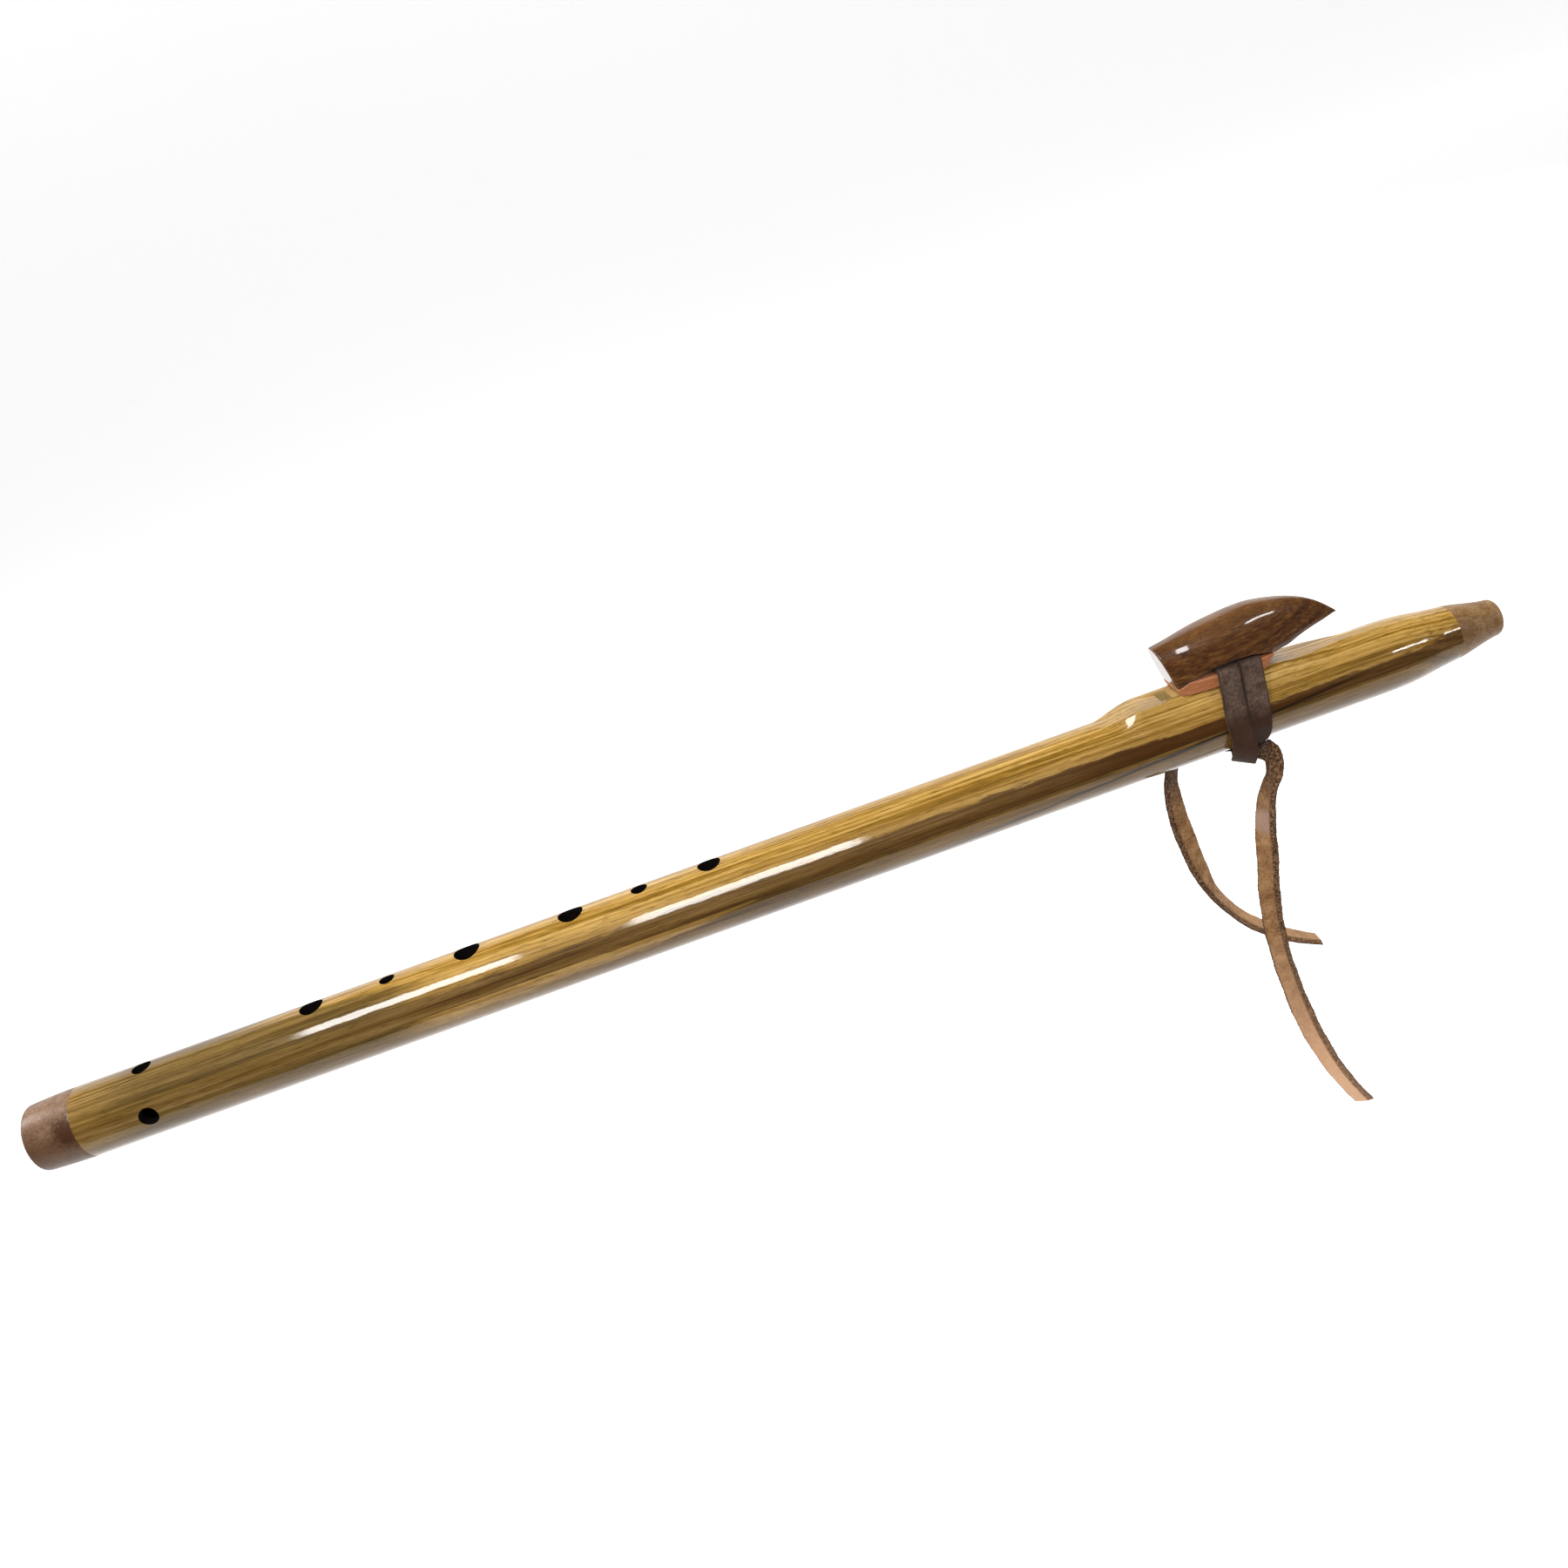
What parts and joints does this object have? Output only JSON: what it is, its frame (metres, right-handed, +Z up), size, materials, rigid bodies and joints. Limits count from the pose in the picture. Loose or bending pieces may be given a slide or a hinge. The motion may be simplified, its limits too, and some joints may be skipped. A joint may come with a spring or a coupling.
{
  "type": "native american flute",
  "caption": "End-blown wooden duct flute with an arched block tied on a flat nest by a leather lace, and turned foot and mouth ends.",
  "frame": {"origin": "On the underside of the tube, midway between the two places, 132 mm apart, where a cradle holds the flute.", "axes": "+X along the tube towards the mouth, +Z up through the finger holes and the block, +Y to the far side."},
  "size_m": [0.6832, 0.0374, 0.277],
  "materials": {
    "body_wood": "golden open-grained hardwood with dark olive streaks under clear gloss lacquer",
    "foot_walnut": "walnut, turned and satin lacquered",
    "mouth_walnut": "walnut, turned and satin lacquered",
    "block_walnut": "dark walnut, carved and gloss lacquered",
    "base_wood": "reddish hardwood slab, planed and sealed",
    "lace_grain_side": "brown lace leather, smooth grain side out, matte",
    "lace_flesh_side": "the same lace, suede flesh side out, fuzzy cut edges"
  },
  "bodies": {
    "flute": {"body_upper_half": "body_wood", "body_lower_half": "body_wood", "foot_ring": "foot_walnut", "mouthpiece": "mouth_walnut", "lace_winding": "lace_grain_side", "lace_knot": "lace_flesh_side", "lace_tail_near": "lace_flesh_side", "lace_tail_far": "lace_flesh_side"},
    "block": {"block": "block_walnut", "block_base": "base_wood"}
  },
  "joints": [
    {"name": "block_slide", "type": "slide", "parent": "flute", "child": "block", "axis": [1, 0, 0], "range_m": [-0.001, 0.003]}
  ]
}
